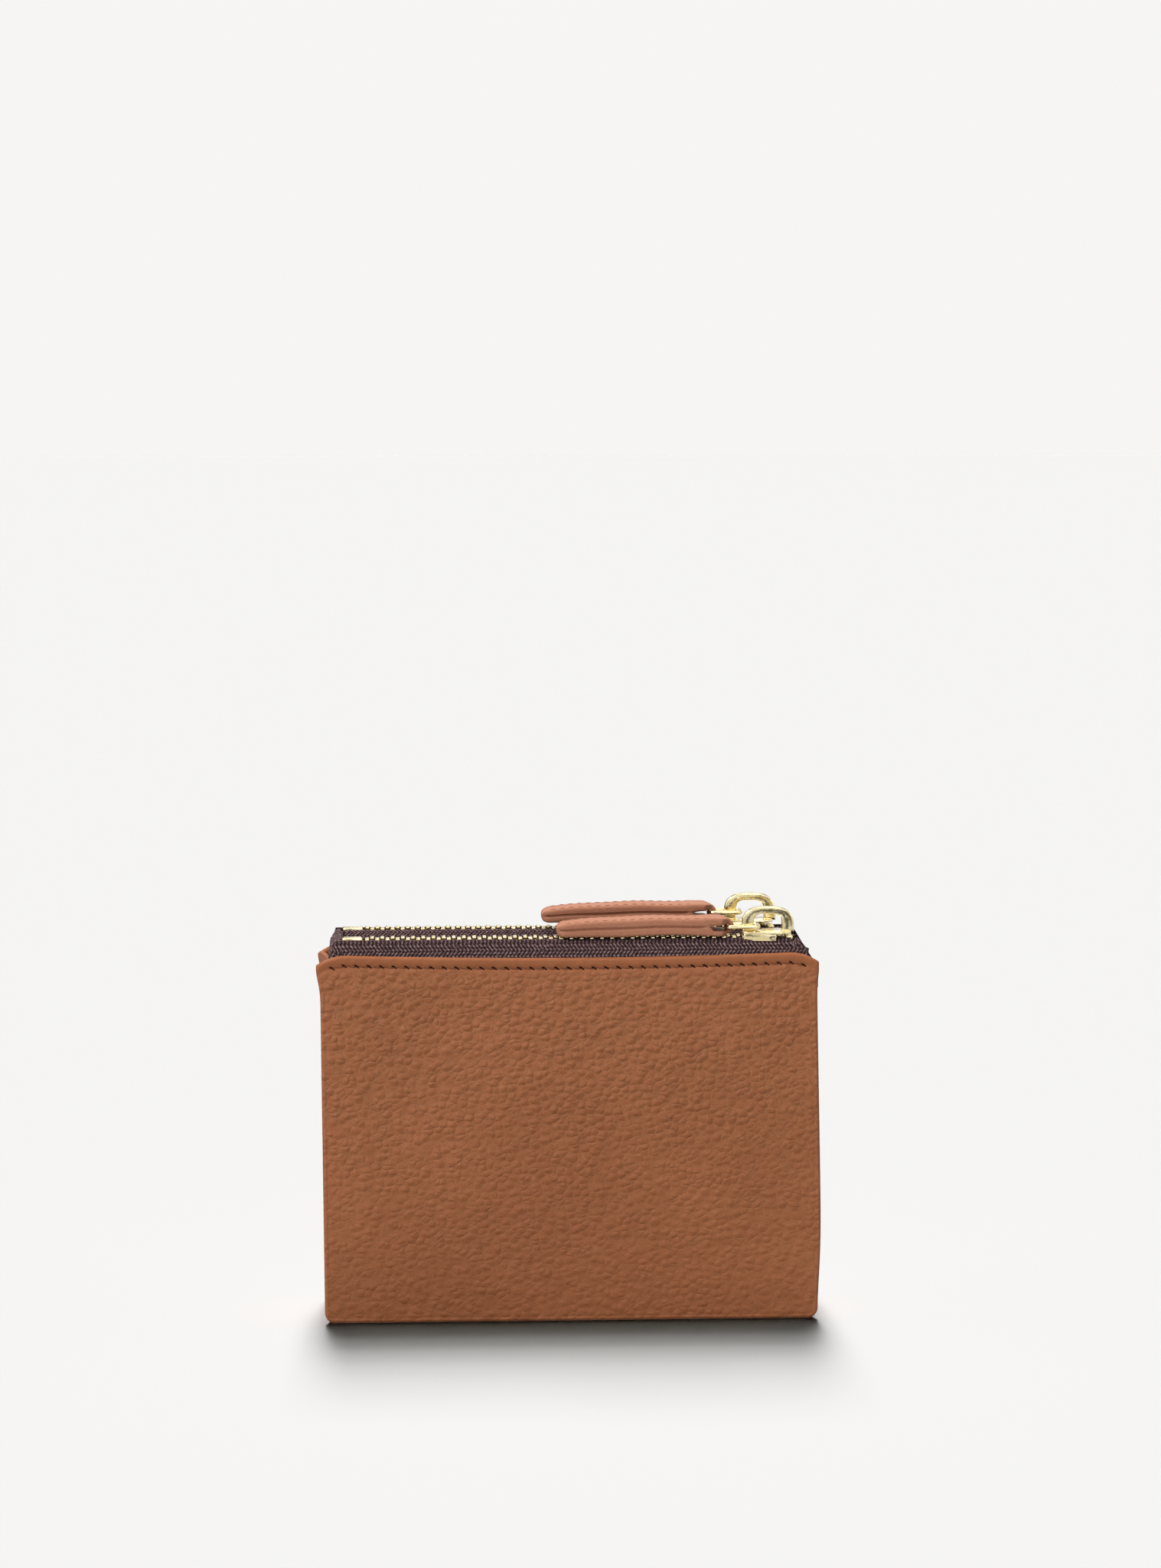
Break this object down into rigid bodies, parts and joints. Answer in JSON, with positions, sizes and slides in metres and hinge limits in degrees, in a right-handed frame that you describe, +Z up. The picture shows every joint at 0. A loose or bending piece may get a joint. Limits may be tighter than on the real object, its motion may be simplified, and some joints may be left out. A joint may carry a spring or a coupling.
{
  "type": "two-zip leather wallet",
  "caption": "Small grained leather wallet with two zipped compartments side by side, gold-tone sliders and leather pulls.",
  "frame": {"origin": "under the middle of the base, on the surface that the wallet stands on", "axes": "+X along the zips towards the closed end, -Y the front face, +Z up"},
  "size_m": [0.115, 0.025, 0.0972],
  "materials": {
    "outer_leather": "pebble-grained, semi-matt",
    "pull_leather": "smooth, semi-matt",
    "thread": "waxed thread",
    "zip_tape": "woven twill tape",
    "lining_fabric": "woven",
    "board": "pressed fibre board",
    "pale_gold": "polished, pale gold plated"
  },
  "bodies": {
    "core": {"base_panel": "outer_leather", "left_gusset": "outer_leather", "right_gusset": "outer_leather", "base_board": "board", "centre_divider": "lining_fabric", "front_lining": "lining_fabric", "rear_lining": "lining_fabric", "front_slip_pocket": "lining_fabric", "card_slot_upper": "lining_fabric", "card_slot_middle": "lining_fabric", "card_slot_lower": "lining_fabric", "front_inner_tape": "zip_tape", "front_inner_teeth": "pale_gold", "front_inner_top_stop": "pale_gold", "front_bottom_stop": "pale_gold", "rear_inner_tape": "zip_tape", "rear_inner_teeth": "pale_gold", "rear_inner_top_stop": "pale_gold", "rear_bottom_stop": "pale_gold"},
    "front_wall": {"front_panel": "outer_leather", "front_stiffener": "board", "front_outer_tape": "zip_tape", "front_outer_teeth": "pale_gold", "front_outer_top_stop": "pale_gold"},
    "front_slider": {"front_slider_body": "pale_gold", "front_bail": "pale_gold"},
    "front_link": {"front_link": "pale_gold"},
    "front_pull": {"front_pull": "pull_leather"},
    "rear_wall": {"rear_panel": "outer_leather", "rear_stiffener": "board", "rear_outer_tape": "zip_tape", "rear_outer_teeth": "pale_gold", "rear_outer_top_stop": "pale_gold"},
    "rear_slider": {"rear_slider_body": "pale_gold", "rear_bail": "pale_gold"},
    "rear_link": {"rear_link": "pale_gold"},
    "rear_pull": {"rear_pull": "pull_leather"}
  },
  "joints": [
    {"name": "front_zip_travel", "type": "slide", "parent": "core", "child": "front_slider", "axis": [-1, 0, 0], "range_m": [0, 0.086], "deforming": ["front_outer_tape", "front_outer_teeth", "front_inner_tape", "front_inner_teeth"]},
    {"name": "front_mouth", "type": "hinge", "parent": "core", "child": "front_wall", "pos_m": [0, -0.01175, 0.0008], "axis": [1, 0, 0], "range_deg": [0, 10]},
    {"name": "front_link_swing", "type": "hinge", "parent": "front_slider", "child": "front_link", "pos_m": [0.0431, -0.0065, 0.0914], "axis": [0, 1, 0], "range_deg": [0, 100]},
    {"name": "front_pull_swing", "type": "hinge", "parent": "front_link", "child": "front_pull", "pos_m": [0.0358, -0.0065, 0.09135], "axis": [0, 1, 0], "range_deg": [0, 45]},
    {"name": "rear_zip_travel", "type": "slide", "parent": "core", "child": "rear_slider", "axis": [-1, 0, 0], "range_m": [0, 0.083], "deforming": ["rear_outer_tape", "rear_outer_teeth", "rear_inner_tape", "rear_inner_teeth"]},
    {"name": "rear_mouth", "type": "hinge", "parent": "core", "child": "rear_wall", "pos_m": [0, 0.01175, 0.0008], "axis": [-1, 0, 0], "range_deg": [0, 10]},
    {"name": "rear_link_swing", "type": "hinge", "parent": "rear_slider", "child": "rear_link", "pos_m": [0.0401, 0.0065, 0.0928], "axis": [0, 1, 0], "range_deg": [0, 100]},
    {"name": "rear_pull_swing", "type": "hinge", "parent": "rear_link", "child": "rear_pull", "pos_m": [0.0328, 0.0065, 0.09275], "axis": [0, 1, 0], "range_deg": [0, 45]}
  ],
  "couplings": [
    {"joint": "front_mouth", "follows": "front_zip_travel", "rad_per_m": 2.029},
    {"joint": "rear_mouth", "follows": "rear_zip_travel", "rad_per_m": 2.102}
  ]
}
